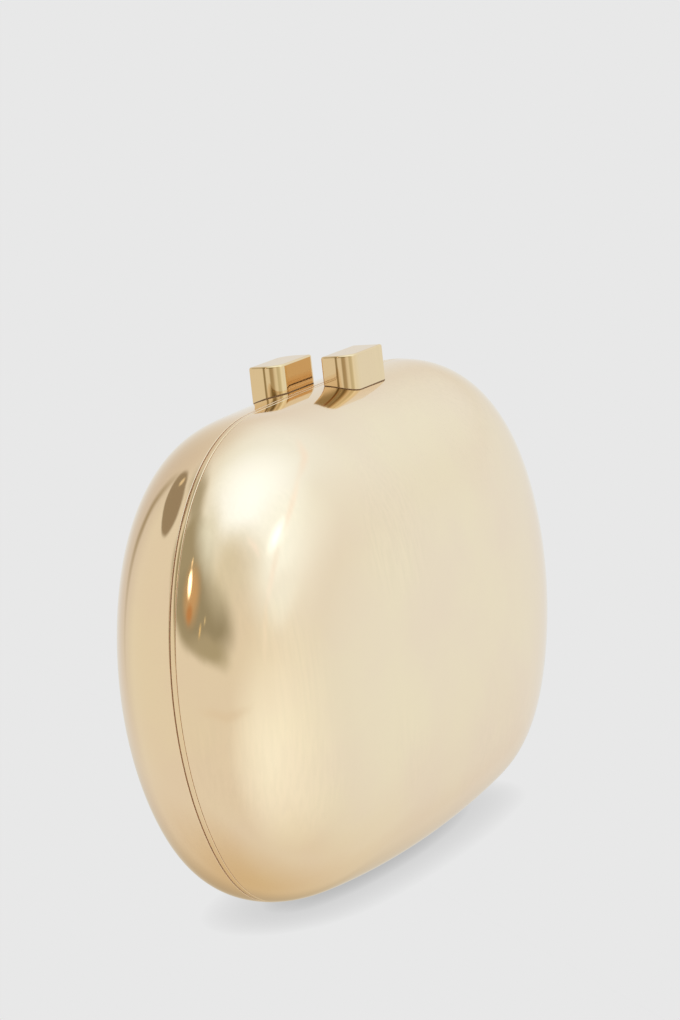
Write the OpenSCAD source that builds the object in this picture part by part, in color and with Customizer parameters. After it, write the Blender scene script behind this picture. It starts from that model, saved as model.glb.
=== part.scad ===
// Evening clutch with a hard polished case (minaudiere).
// Two deep pressed halves meet in an upright seam, turn on a barrel hinge let into the bottom
// edge and snap shut on a ball catch under the top edge, where each half carries a clasp block.
// X runs along the clutch, -Y is its front, Z is up. The origin is under the middle of the base.

/* [Case] */
// Width of the case, end to end
case_w = 188; // [180:1:200]
// Height of the outline, from its lowest point to the top of the seam
case_h = 120; // [116:1:126]
// Depth of one half, from the seam to its crown
half_depth = 35; // [31:1:40]
// Radius of the nearly straight top edge
top_r = 1750; // [1400:50:2200]
// Radius of the bottom edge
bottom_r = 443; // [400:1:520]
// Radius of both ends
end_r = 67.5; // [64:0.5:72]
// Height of the ends' centres above the middle of the outline
end_rise = 0.5; // [-1:0.5:2]
// Angle, up from the level, at which each end's arc passes into the blend to the top edge
top_blend_deg = 25.8; // [20:0.1:32]
// The same angle downwards, at the blend to the bottom edge
bottom_blend_deg = 37.3; // [32:0.1:42]
// How full the outline stays on the way to a crown, where 2 is an ellipse
plan_power = 2.65; // [2.4:0.05:2.9]
// How squarely the wall leaves the seam, where 2 is an ellipse
wall_power = 2.1; // [2:0.05:2.3]
// Depth of the flat that the bottom edge stands on
base_flat_d = 0.5; // [0.4:0.05:0.8]
// Thickness of the pressed brass
shell_t = 1; // [0.8:0.1:1.2]

/* [Seam and frames] */
// Gap between the closed halves
seam_gap = 0.3; // [0.2:0.05:0.4]
// Width of the polished bead round the front half's edge
bead_w = 1.2; // [0.9:0.1:1.6]
// Groove between the bead and the front shell
bead_groove = 0.1; // [0.05:0.05:0.2]
// Depth of both frames behind the seam
frame_d = 3.2; // [2.8:0.1:3.6]
// Thickness of the back frame, across the seam face
frame_t = 1.5; // [1.2:0.1:1.8]
// Room between a shell's inner face and the frame's wall, where the shell curves in
frame_gap = 0.4; // [0.35:0.05:0.6]
// Depth of the back frame's flange, which closes that room at the seam
flange_d = 1; // [0.8:0.1:1.2]
// Gap round the flange, filled with solder
flange_gap = 0.05; // [0.03:0.01:0.1]
// Thickness of the lip that keeps the halves in line
lip_t = 0.8; // [0.6:0.1:1]
// How far the lip reaches past the seam into the back half
lip_reach = 2.6; // [2.5:0.1:3]
// Running clearance between the lip and the back frame
lip_clear = 0.3; // [0.2:0.05:0.4]

/* [Hinge] */
// Width of the barrel hinge
hinge_w = 50; // [40:1:54]
// Radius of the hinge barrel
barrel_r = 1.7; // [1.6:0.05:1.8]
// Radius of the hinge pin
pin_r = 0.75; // [0.6:0.05:0.8]
// Running clearance of the pin in its knuckles
pin_clear = 0.05; // [0.03:0.01:0.08]
// Number of knuckles, odd, the outer ones on the back leaf
knuckles = 5; // [5:2:7]
// Gap between two knuckles
knuckle_gap = 0.2; // [0.15:0.05:0.3]
// Clearance of the barrel in the case
barrel_clear = 0.35; // [0.3:0.05:0.4]
// Height of the barrel above the surface that the clutch stands on
barrel_lift = 0.25; // [0.2:0.05:0.3]
// Width of each leaf, behind the barrel
leaf_w = 3.5; // [3:0.1:4]
// Thickness of each leaf
leaf_t = 1.85; // [1.7:0.05:1.9]
// Angle that the front half opens to
open_angle = 100; // [80:5:100]

/* [Clasp blocks] */
// Length of a block, along the seam
block_l = 19; // [17:0.5:22]
// Width of a block, across the seam
block_w = 8; // [7:0.5:9]
// Height of the blocks' tops above the top of the seam
block_rise = 7.1; // [6:0.1:8]
// Radius of the rounded upright corners of the blocks
block_corner_r = 4.5; // [3.5:0.5:5]
// Distance of a block from the seam
block_seam_gap = 2.8; // [2.5:0.1:3.5]
// How far a block reaches past the middle of the clutch
block_overlap = 3.2; // [2:0.1:4]
// Gap under a block, over the shell
block_gap = 0.2; // [0.15:0.05:0.3]

/* [Fixings] */
// Radius of the screws that hold the blocks
screw_r = 1; // [0.8:0.1:1.2]
// Length of a screw's shank above the shell
screw_grip = 4.5; // [4:0.1:5]
// Distance of each screw from a block's end
screw_inset = 4.6; // [4.2:0.1:5]
// Radius of the screw heads
screw_head_r = 1.7; // [1.6:0.1:1.9]
// Thickness of the screw heads
screw_head_t = 0.9; // [0.8:0.1:1]
// Radius of the fibre washers
washer_r = 2.1; // [2:0.1:2.3]
// Thickness of the fibre washers
washer_t = 0.3; // [0.2:0.05:0.4]
// Room between a flat washer and the curved shell over it
washer_gap = 0.2; // [0.15:0.05:0.25]

/* [Ball catch] */
// Radius of the catch's ball
ball_r = 1.1; // [1:0.05:1.2]
// How far the ball stands out of the lip
ball_show = 0.65; // [0.6:0.05:0.7]
// How far the ball can be pushed in
ball_travel = 0.5; // [0.45:0.05:0.6]
// Clearance of the ball in its barrel
ball_clear = 0.05; // [0.03:0.01:0.08]
// Clearance of the ball in the back frame's dimple
dimple_clear = 0.3; // [0.2:0.05:0.35]
// Radius of the catch barrel
catch_r = 2.1; // [1.9:0.1:2.3]
// Length of the catch barrel
catch_l = 7.5; // [7:0.1:9]
// Length of the plug that closes the catch barrel
plug_l = 1.4; // [1.2:0.1:1.8]
// Radius of the catch spring's wire
wire_r = 0.14; // [0.12:0.01:0.16]
// Number of turns of the catch spring
spring_turns = 7; // [5:1:8]

/* [Lining] */
// Thickness of the padded lining
lining_t = 2.4; // [2.3:0.1:2.8]
// Gap between the lining and what it lies against
lining_gap = 0.3; // [0.2:0.05:0.4]
// Depth of the pockets over the screw heads, past the heads
pocket_room = 0.25; // [0.2:0.05:0.3]

/* [Hidden] */

// Points of an outline quarter along its end, its corner and its long edge
fine_steps = [6, 10, 5];
plain_steps = [3, 6, 3];
// Rings from the seam to the crown, closer together near the seam by this power
shell_rings = 12;
lining_rings = 7;
ring_power = 1.3;
// Round solids' resolution, and the overrun of all cuts
$fn = 64;
over = 1;

half_h = case_h / 2;
mid_z = half_h - base_flat_d;
seam_y = seam_gap / 2;
seam_top_z = mid_z + half_h;
frame_y = seam_y + frame_d;
bead_y = seam_y + bead_w;
front_rim_y = bead_y + bead_groove;
lining_y = frame_y + lining_gap;

// Distances inwards from the case's outline
flange_off = shell_t + flange_gap;
frame_off = shell_t + frame_gap;
back_in_off = frame_off + frame_t;
lip_off = back_in_off + lip_clear;
lip_in_off = lip_off + lip_t;
lining_off = shell_t + lining_gap;
lining_in_off = lining_off + lining_t;

axis_z = barrel_lift + barrel_r;
channel_r = barrel_r + barrel_clear;
leaf_y = barrel_r + barrel_clear;
knuckle_l = (hinge_w - (knuckles - 1) * knuckle_gap) / knuckles;
// Half angle of the relief under the hinge, a little over half of the opening
relief_angle = open_angle / 2 + 3;

block_mid_y = block_seam_gap + block_w / 2;
block_far_y = block_seam_gap + block_w;
block_mid_x = block_overlap - block_l / 2;
// Depth of a washer's lower face under the shell's outer face
washer_z = shell_t + washer_gap + washer_t;

catch_y = lip_reach / 2;
lip_top_z = seam_top_z - lip_off;
lip_under_z = seam_top_z - lip_in_off;
ball_z = lip_top_z + ball_show - ball_r;
catch_bore_r = ball_r + ball_clear;
catch_low_z = lip_under_z - flange_gap - catch_l;
spring_gap = ball_clear;

// Outline of the case

function arc_points(centre, r, from, to, steps) =
    [for (i = [0 : steps - 1]) let (a = from + (to - from) * i / steps)
        [centre[0] + r * cos(a), centre[1] + r * sin(a)]];

// How much smaller than the end's arc the arc is that touches it at an angle and the long edge too
function blend_drop(long_c, long_r, end_c, blend_deg) =
    let (v = end_c - long_c, u = [cos(blend_deg), sin(blend_deg)])
    (v * v - pow(long_r - end_r, 2)) / (2 * (long_r - end_r - v * u));

function angle_of(v) = atan2(v[1], v[0]);

// From the end up to the middle of a long edge, a distance off inside the outline
function quarter(long_r, blend_deg, rise, off, steps) =
    let (long_c = [0, half_h - long_r], end_c = [case_w / 2 - end_r, rise],
         drop = blend_drop(long_c, long_r, end_c, blend_deg),
         corner_c = end_c + drop * [cos(blend_deg), sin(blend_deg)],
         b = angle_of(corner_c - long_c))
    concat(arc_points(end_c, end_r - off, 0, blend_deg, steps[0]),
           arc_points(corner_c, end_r - drop - off, blend_deg, b, steps[1]),
           arc_points(long_c, long_r - off, b, 90, steps[2]),
           [[0, half_h - off]]);

// The whole outline about its middle, anticlockwise as seen from the front
function outline(off, steps) =
    let (up = quarter(top_r, top_blend_deg, end_rise, off, steps),
         down = quarter(bottom_r, bottom_blend_deg, -end_rise, off, steps),
         n = len(up) - 1)
    concat([for (i = [0 : n - 1]) up[i]],
           [for (i = [n : -1 : 1]) [-up[i][0], up[i][1]]],
           [for (i = [0 : n - 1]) [-down[i][0], -down[i][1]]],
           [for (i = [n : -1 : 1]) [down[i][0], -down[i][1]]]);

// Form of a half

function plan_share(y, depth) = pow(1 - pow(y / depth, wall_power), 1 / plan_power);

// Height of the case's top, a distance y from the seam, and its slope there
function top_z(y) = mid_z + half_h * plan_share(y, half_depth);
function top_slope(y) =
    let (u = pow(y / half_depth, wall_power))
    atan(half_h * wall_power / plan_power * u / y * pow(1 - u, 1 / plan_power - 1));

// Rings of points from a rim at rim_y to the crown, and the crown itself. No point is under floor_z
function form_points(rim_y, off, floor_z, steps, rings) =
    let (pts = outline(off, steps), depth = half_depth - off,
         first = asin(pow(rim_y / depth, wall_power / 2)))
    concat([for (k = [0 : rings - 1]) let (a = first + (90 - first) * pow(k / rings, ring_power),
                s = pow(cos(a), 2 / plan_power), y = depth * pow(sin(a), 2 / wall_power))
                for (p = pts) [p[0] * s, y, max(floor_z, mid_z + p[1] * s)]],
           [[0, depth, mid_z]]);

// Triangles of those rings, from point number base on, facing outwards or inwards
function form_faces(base, n, rings, outwards) =
    let (quads = [for (k = [0 : rings - 2]) for (i = [0 : n - 1])
                      [base + k * n + i, base + k * n + (i + 1) % n,
                       base + (k + 1) * n + (i + 1) % n, base + (k + 1) * n + i]],
         last = base + (rings - 1) * n, crown = base + rings * n,
         tris = concat([for (q = quads) [q[0], q[1], q[2]]],
                       [for (q = quads) [q[0], q[2], q[3]]],
                       [for (i = [0 : n - 1]) [last + i, last + (i + 1) % n, crown]]))
    outwards ? tris : [for (t = tris) [t[0], t[2], t[1]]];

function rim_faces(inner, n) =
    [for (i = [0 : n - 1]) for (side = [0, 1]) let (j = (i + 1) % n)
        side == 0 ? [i, inner + i, inner + j] : [i, inner + j, j]];

// One half's wall, on the back side, between two distances inside the outline
module half_wall(rim_y, out_off, in_off, out_floor, in_floor, steps, rings) {
    n = len(outline(0, steps));
    inner = rings * n + 1;
    polyhedron(
        points = concat(form_points(rim_y, out_off, out_floor, steps, rings),
                        form_points(rim_y, in_off, in_floor, steps, rings)),
        faces = concat(form_faces(0, n, rings, true), form_faces(inner, n, rings, false),
                       rim_faces(inner, n)),
        convexity = 4);
}

// A ring that follows the outline, between two distances inside it, from y0 to y1
module frame_ring(out_off, in_off, y0, y1) {
    translate([0, y1, mid_z]) rotate([90, 0, 0])
        difference() {
            linear_extrude(y1 - y0) polygon(outline(out_off, fine_steps));
            translate([0, 0, -over])
                linear_extrude(y1 - y0 + 2 * over) polygon(outline(in_off, fine_steps));
        }
}

// The front half's pieces are the back half's turned half a turn about the upright middle line
module to_front() {
    rotate([0, 0, 180]) children();
}

// Cuts that both halves share

// Everything under the surface that the clutch stands on
module below_base() {
    translate([-case_w / 2, -half_depth, -case_h]) cube([case_w, 2 * half_depth, case_h]);
}

// Room for the barrel, and a wedge under the hinge line that the lower edges turn through.
// The wedge fades out where the bottom edge rises past the hinge line.
module hinge_room() {
    drop = axis_z + base_flat_d + over;
    rotate([0, 90, 0]) translate([-axis_z, 0, -hinge_w / 2 - barrel_clear])
        cylinder(r = channel_r, h = hinge_w + 2 * barrel_clear);
    rotate([90, 0, 90]) translate([0, 0, -case_w / 2])
        linear_extrude(case_w)
            polygon([[0, axis_z], [-drop * tan(relief_angle), axis_z - drop],
                     [drop * tan(relief_angle), axis_z - drop]]);
}

// Room in a frame or a lip for the two hinge leaves, a clearance wider at each end
module leaf_room(clear) {
    translate([-hinge_w / 2 - clear, -half_depth, -over])
        cube([hinge_w + 2 * clear, 2 * half_depth, axis_z + barrel_r + 2 * over]);
}

// Puts a fixing at each screw of the back block, along the shell's outward normal
module at_screws() {
    for (side = [-1, 1])
        translate([block_mid_x + side * (block_l / 2 - screw_inset), block_mid_y, top_z(block_mid_y)])
            rotate([-top_slope(block_mid_y), 0, 0]) children();
}

module screw_holes() {
    at_screws() translate([0, 0, -shell_t - over])
        cylinder(r = screw_r + flange_gap, h = shell_t + 2 * over);
}

// Both halves' like pieces, made on the back side

module case_wall(rim_y) {
    difference() {
        half_wall(rim_y, 0, shell_t, -case_h, shell_t, fine_steps, shell_rings);
        below_base();
        hinge_room();
        screw_holes();
    }
}

module clasp_block(outer_rounded) {
    top = seam_top_z + block_rise;
    low = top_z(block_far_y) - over;
    // The underside is hollowed to a cylinder through the shell's top and its height under the far edge
    fall = seam_top_z - top_z(block_far_y);
    seat_r = (block_far_y * block_far_y + fall * fall) / (2 * fall);
    left = block_mid_x - block_l / 2;
    difference() {
        translate([left, block_seam_gap, low]) cube([block_l, block_w, top - low]);
        // The far corner of the inner end is rounded, and on the back block the near one of the outer end
        if (outer_rounded) translate([left, block_seam_gap, low]) corner_cut(top - low);
        translate([left + block_l, block_far_y, low]) rotate([0, 0, 180]) corner_cut(top - low);
        translate([0, 0, seam_top_z - seat_r]) rotate([0, 90, 0])
            cylinder(r = seat_r + block_gap, h = case_w, center = true, $fn = 256);
        at_screws() translate([0, 0, -over])
            cylinder(r = screw_r + pin_clear, h = screw_grip + over + block_gap);
    }
}

// The waste of a rounded upright corner at the origin
module corner_cut(h) {
    difference() {
        translate([-over, -over, -over])
            cube([block_corner_r + over, block_corner_r + over, h + 2 * over]);
        translate([block_corner_r, block_corner_r, -2 * over])
            cylinder(r = block_corner_r, h = h + 4 * over);
    }
}

module block_washers() {
    at_screws() translate([0, 0, -washer_z]) difference() {
        cylinder(r = washer_r, h = washer_t);
        translate([0, 0, -over]) cylinder(r = screw_r + flange_gap, h = washer_t + 2 * over);
    }
}

module block_screws() {
    at_screws() translate([0, 0, -washer_z]) {
        translate([0, 0, -screw_head_t]) difference() {
            cylinder(r = screw_head_r, h = screw_head_t);
            // Slot for the screwdriver
            translate([-screw_head_r - over, -wire_r, -over])
                cube([2 * (screw_head_r + over), 2 * wire_r, over + screw_head_t / 2]);
        }
        cylinder(r = screw_r, h = washer_z + screw_grip);
    }
}

// A padded lining, with pockets in its outer face for the screw heads
module lining() {
    pocket = washer_z + screw_head_t + pocket_room;
    difference() {
        half_wall(lining_y, lining_off, lining_in_off, lining_off, lining_in_off, plain_steps,
                  lining_rings);
        at_screws() translate([0, 0, -pocket]) cylinder(r = washer_r + pocket_room, h = pocket);
        // Room for the hinge leaf
        translate([-hinge_w / 2 - lining_gap, 0, 0])
            cube([hinge_w + 2 * lining_gap, leaf_y + leaf_w + lining_gap,
                  axis_z + barrel_r + lining_gap]);
    }
}

// A leaf with the knuckles from first on, every second one
module hinge_leaf(first) {
    top = axis_z + barrel_r;
    difference() {
        union() {
            translate([-hinge_w / 2, leaf_y, top - leaf_t]) cube([hinge_w, leaf_w, leaf_t]);
            for (k = [first : 2 : knuckles - 1])
                translate([-hinge_w / 2 + k * (knuckle_l + knuckle_gap), 0, 0]) {
                    translate([0, 0, axis_z]) rotate([0, 90, 0])
                        cylinder(r = barrel_r, h = knuckle_l);
                    translate([0, 0, axis_z]) cube([knuckle_l, leaf_y + leaf_w, barrel_r]);
                }
        }
        translate([-hinge_w, 0, axis_z]) rotate([0, 90, 0])
            cylinder(r = pin_r + pin_clear, h = 2 * hinge_w);
    }
}

// Back half, which the clutch stands on as it opens

module back_shell() {
    color("#d9c28f") case_wall(seam_y);
}

module back_frame() {
    color("#b8964f") difference() {
        union() {
            frame_ring(flange_off, back_in_off, seam_y, seam_y + flange_d);
            frame_ring(frame_off, back_in_off, seam_y + flange_d, frame_y);
        }
        leaf_room(barrel_clear / 2);
        hinge_room();
        // Dimple that the catch ball springs into
        translate([0, catch_y, ball_z]) sphere(r = ball_r + dimple_clear);
    }
}

module back_clasp_block() {
    color("#e0c27a") clasp_block(true);
}

module back_block_screws() {
    color("#9a9a9a") block_screws();
}

module back_block_washers() {
    color("#5a3a2a") block_washers();
}

module back_hinge_leaf() {
    color("#b8964f") hinge_leaf(0);
}

module hinge_pin() {
    color("#8c8c8c") translate([-hinge_w / 2, 0, axis_z]) rotate([0, 90, 0])
        cylinder(r = pin_r, h = hinge_w);
}

module back_lining() {
    color("#e8dcc6") lining();
}

// Front half, which opens forwards and down

module front_shell() {
    color("#e3cf9f") to_front() case_wall(front_rim_y);
}

module front_frame() {
    color("#c8a55a") to_front() difference() {
        union() {
            frame_ring(0, lip_off, seam_y, bead_y);
            frame_ring(frame_off, lip_off, bead_y, frame_y);
        }
        leaf_room(barrel_clear / 2);
        hinge_room();
        below_base();
    }
}

module front_lip() {
    color("#b8964f") difference() {
        frame_ring(lip_off, lip_in_off, -frame_y, lip_reach);
        leaf_room(barrel_r);
        // Seat of the catch ball: it can sink in, but not come out
        translate([0, catch_y, ball_z]) sphere(r = catch_bore_r);
        translate([0, catch_y, ball_z - catch_bore_r - over])
            cylinder(r = catch_bore_r, h = catch_bore_r + over);
    }
}

module front_clasp_block() {
    color("#e0c27a") to_front() clasp_block(false);
}

module front_block_screws() {
    color("#9a9a9a") to_front() block_screws();
}

module front_block_washers() {
    color("#5a3a2a") to_front() block_washers();
}

module front_hinge_leaf() {
    color("#b8964f") to_front() hinge_leaf(1);
}

module front_lining() {
    color("#e8dcc6") to_front() lining();
}

// Ball catch, carried by the front half's lip

module catch_barrel() {
    color("#a98a4a") translate([0, catch_y, catch_low_z]) difference() {
        cylinder(r = catch_r, h = catch_l);
        translate([0, 0, -over]) cylinder(r = catch_bore_r, h = catch_l + 2 * over);
    }
}

module catch_ball() {
    color("#c9c9c9") translate([0, catch_y, ball_z]) sphere(r = ball_r);
}

// A helix from the plug to the underside of the ball
module catch_spring() {
    coil_r = ball_r - 2 * wire_r;
    low = catch_low_z + plug_l + spring_gap + wire_r;
    high = ball_z - sqrt(ball_r * ball_r - coil_r * coil_r) - spring_gap - 2 * wire_r;
    steps = 12;
    sides = 6;
    rings = spring_turns * steps;
    points = [for (i = [0 : rings]) let (a = 360 * i / steps, z = low + (high - low) * i / rings)
                  for (k = [0 : sides - 1]) let (b = 360 * k / sides, r = coil_r + wire_r * cos(b))
                      [r * cos(a), r * sin(a), z + wire_r * sin(b)]];
    faces = concat(
        [[for (k = [0 : sides - 1]) k]],
        [for (i = [0 : rings - 1]) for (k = [0 : sides - 1]) for (half = [0, 1])
            let (a = i * sides + k, b = i * sides + (k + 1) % sides, c = b + sides, d = a + sides)
            half == 0 ? [a, c, b] : [a, d, c]],
        [[for (k = [sides - 1 : -1 : 0]) rings * sides + k]]);
    color("#a0a0a0") translate([0, catch_y, 0]) polyhedron(points = points, faces = faces);
}

module catch_plug() {
    color("#a98a4a") translate([0, catch_y, catch_low_z]) difference() {
        cylinder(r = ball_r, h = plug_l);
        // Slot for the screwdriver
        translate([-catch_r, -wire_r, -over]) cube([2 * catch_r, 2 * wire_r, over + plug_l / 3]);
    }
}

back_shell();
back_frame();
back_clasp_block();
back_block_screws();
back_block_washers();
back_hinge_leaf();
hinge_pin();
back_lining();
front_shell();
front_frame();
front_lip();
front_clasp_block();
front_block_screws();
front_block_washers();
front_hinge_leaf();
front_lining();
catch_barrel();
catch_ball();
catch_spring();
catch_plug();
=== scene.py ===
import math

import bmesh
import bpy
from mathutils import Euler, Matrix, Vector, noise


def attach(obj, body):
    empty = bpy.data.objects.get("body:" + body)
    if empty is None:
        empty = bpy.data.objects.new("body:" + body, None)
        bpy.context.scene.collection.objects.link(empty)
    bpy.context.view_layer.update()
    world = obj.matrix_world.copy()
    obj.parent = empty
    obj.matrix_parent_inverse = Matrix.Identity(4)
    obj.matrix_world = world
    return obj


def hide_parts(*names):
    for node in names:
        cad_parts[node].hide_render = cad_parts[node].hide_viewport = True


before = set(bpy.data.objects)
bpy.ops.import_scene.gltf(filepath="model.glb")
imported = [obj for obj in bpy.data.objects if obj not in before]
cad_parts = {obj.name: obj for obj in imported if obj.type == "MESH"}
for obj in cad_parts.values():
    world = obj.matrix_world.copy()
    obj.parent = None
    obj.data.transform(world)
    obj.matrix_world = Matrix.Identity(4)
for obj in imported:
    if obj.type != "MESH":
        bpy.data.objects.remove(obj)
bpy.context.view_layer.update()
scene = bpy.context.scene
scene.view_settings.view_transform = "Standard"


# Camera. It stands to the left of the clutch and a little in front and above, about 0.9 m off,
# with a long lens. Its turn takes in the lean that the clutch has in the photograph.
camera_data = bpy.data.cameras.new("camera")
camera_data.sensor_fit = "VERTICAL"
camera_data.sensor_height = 36
camera_data.lens = 132.86
camera = bpy.data.objects.new("camera", camera_data)
camera.location = (-0.8294, -0.4012, 0.2392)
camera.rotation_euler = Euler([math.radians(a) for a in (80.603, 6.177, -65.316)])
scene.collection.objects.link(camera)
scene.camera = camera


# Floor. One wide sheet of pale grey paper that the clutch stands on. The camera sees only a painted
# soft shadow on it, darker close to the clutch, and the even pale ground through it. So the front
# half still shows where it opens past the paper. The metal shows the studio in the paper's place.
floor_reach = 20
pale_ground = (0.807, 0.807, 0.807)
shade_reach, contact_reach = 0.0095, 0.003
contact_shadow_tone, shade_tone = (0.46, 0.46, 0.46), (0.62, 0.62, 0.62)


class Wiring:
    """A node tree, with short ways to add its nodes and to set or link their sockets."""

    def __init__(self, tree, inputs=(), outputs=()):
        self.tree = tree
        for label, kind, value in inputs:
            socket = tree.interface.new_socket(label, in_out="INPUT", socket_type="NodeSocket" + kind)
            if value is not None:
                socket.default_value = value
        for label, kind in outputs:
            tree.interface.new_socket(label, in_out="OUTPUT", socket_type="NodeSocket" + kind)
        if outputs:
            self.given = tree.nodes.new("NodeGroupInput").outputs
            self.result = tree.nodes.new("NodeGroupOutput").inputs

    def feed(self, socket, value):
        """Links a socket to another, or sets it; a colour is given as three numbers."""
        if isinstance(value, bpy.types.NodeSocket):
            self.tree.links.new(value, socket)
        else:
            socket.default_value = (*value, 1) if socket.type == "RGBA" else value

    def add(self, kind, sockets=None, **settings):
        """Adds a node and gives its outputs."""
        made = self.tree.nodes.new(kind)
        for name, value in settings.items():
            setattr(made, name, value)
        for name, value in (sockets or {}).items():
            self.feed(made.inputs[name], value)
        return made.outputs

    def maths(self, operation, *values):
        return self.add("ShaderNodeMath", dict(enumerate(values)), operation=operation)[0]

    def vectors(self, operation, *values):
        made = self.add("ShaderNodeVectorMath", dict(enumerate(values)), operation=operation)
        return made["Value" if operation in ("DOT_PRODUCT", "LENGTH") else "Vector"]

    def ranged(self, value, low=0, high=1, to_low=0, to_high=1, kind="LINEAR"):
        """A value carried from one range to another."""
        ends = {"From Min": low, "From Max": high, "To Min": to_low, "To Max": to_high}
        return self.add("ShaderNodeMapRange", {"Value": value, **ends}, interpolation_type=kind)["Result"]

    def noise(self, place, scale, detail, distortion=0):
        sockets = {"Vector": place, "Scale": scale, "Detail": detail, "Distortion": distortion}
        return self.add("ShaderNodeTexNoise", sockets)["Fac"]

    def mixed(self, share, first, second):
        """A colour between two."""
        return self.add("ShaderNodeMix", {0: share, 6: first, 7: second}, data_type="RGBA")[2]

    def either(self, share, first, second):
        """A shader between two."""
        return self.add("ShaderNodeMixShader", {0: share, 1: first, 2: second})[0]

    def bumped(self, height, **sockets):
        return self.add("ShaderNodeBump", {"Height": height, **sockets})["Normal"]


class Finish(Wiring):
    """A material, by the wiring of its node tree."""

    def __init__(self, name):
        self.material = bpy.data.materials.new(name)
        self.material.use_nodes = True
        super().__init__(self.material.node_tree)
        self.shader = self.tree.nodes["Principled BSDF"]

    def place(self, stretch=None):
        """Places on the piece itself, stretched if wanted."""
        spot = self.add("ShaderNodeTexCoord")["Object"]
        if stretch:
            spot = self.add("ShaderNodeMapping", {"Vector": spot, "Scale": stretch})["Vector"]
        return spot

    def dress(self, sockets):
        """Sets or links the shader's own sockets, and gives the material."""
        for name, value in sockets.items():
            self.feed(self.shader.inputs[name], value)
        return self.material


paper = Finish("pale_paper")
paper.dress({"Base Color": pale_ground, "Roughness": 1, "Specular IOR Level": 0})
# The shadow is painted: the paper's emitted tone goes darker the more of it the clutch hides nearby
close_by, contact = (
    paper.add("ShaderNodeAmbientOcclusion", {"Distance": distance}, samples=8)["AO"]
    for distance in (shade_reach, contact_reach)
)
tone = paper.mixed(contact, contact_shadow_tone, shade_tone)
shadow = paper.add("ShaderNodeEmission", {"Color": tone})["Emission"]
clear = paper.add("ShaderNodeBsdfTransparent")["BSDF"]
seen_paper = paper.either(close_by, shadow, clear)
to_camera = paper.add("ShaderNodeLightPath")["Is Camera Ray"]
upper_side = paper.either(to_camera, paper.shader.outputs["BSDF"], seen_paper)
# Light passes it from below, so that the opened half is lit where it lies lower than the paper
underneath = paper.add("ShaderNodeNewGeometry")["Backfacing"]
both_sides = paper.either(underneath, upper_side, clear)
paper.feed(paper.tree.nodes["Material Output"].inputs["Surface"], both_sides)

floor_mesh = bpy.data.meshes.new("floor")
floor_corners = [(x * floor_reach, y * floor_reach, 0) for x, y in ((-1, -1), (1, -1), (1, 1), (-1, 1))]
floor_mesh.from_pydata(floor_corners, [], [(0, 1, 2, 3)])
floor_mesh.materials.append(paper.material)
floor = bpy.data.objects.new("floor", floor_mesh)
scene.collection.objects.link(floor)
floor.visible_glossy = False


# Studio light. A pale even room lights everything. Polished metal shows the room itself: a white
# tent with a window over it, the dark far corner with a lamp, and white paper all round below.
world = bpy.data.worlds.new("studio")
world.use_nodes = True
scene.world = world
sky = Wiring(world.node_tree)
sky.tree.nodes.clear()


def panel_group():
    """A soft oval panel laid over what is behind it."""
    sides = [(label, "Vector", None) for label in ("Look", "Towards", "Across", "Upwards")]
    looks = [("Soft", "Float", None), ("Under", "Color", None), ("Over", "Color", None)]
    tree = bpy.data.node_groups.new("oval_panel", "ShaderNodeTree")
    made = Wiring(tree, sides + looks, [("Color", "Color")])
    given, maths = made.given, made.maths
    aside, upwards, ahead = (
        made.vectors("DOT_PRODUCT", given["Look"], given[side]) for side in ("Across", "Upwards", "Towards")
    )
    flat = made.add("ShaderNodeCombineXYZ", {"X": aside, "Y": upwards})["Vector"]
    away = maths("DIVIDE", made.vectors("LENGTH", flat), maths("MAXIMUM", ahead, 0.001))
    inside = made.ranged(away, 1, maths("SUBTRACT", 1, given["Soft"]), kind="SMOOTHSTEP")
    made.feed(made.result["Color"], made.mixed(inside, given["Under"], given["Over"]))
    return tree


oval_panel = panel_group()
# Every edge in the room wanders a little, as hung cloth does
wander = 0.06
towards = sky.add("ShaderNodeTexCoord")["Generated"]
drape = sky.add("ShaderNodeTexNoise", {"Vector": towards, "Scale": 2.2, "Detail": 3})["Color"]
moved = sky.vectors("MULTIPLY_ADD", drape, [2 * wander] * 3, [-wander] * 3)
look = sky.vectors("NORMALIZE", sky.vectors("ADD", towards, moved))


def panel(under, azimuth, elevation, turn, wide, high, soft, colour):
    """Hangs a panel that far round from the front, towards the right end, and that far up."""
    a, e, t = (math.radians(angle) for angle in (azimuth, elevation, turn))
    centre = Vector((math.sin(a) * math.cos(e), -math.cos(a) * math.cos(e), math.sin(e)))
    level = Vector((math.cos(a), math.sin(a), 0))
    rising = level.cross(centre) * -1
    across = math.cos(t) * level + math.sin(t) * rising
    upwards = -math.sin(t) * level + math.cos(t) * rising
    sockets = {"Look": look, "Towards": centre, "Across": across / wide, "Upwards": upwards / high}
    sockets.update({"Soft": soft, "Under": under, "Over": colour})
    return sky.add("ShaderNodeGroup", sockets, node_tree=oval_panel)["Color"]


studio = (0.82, 0.845, 0.85)
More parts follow.
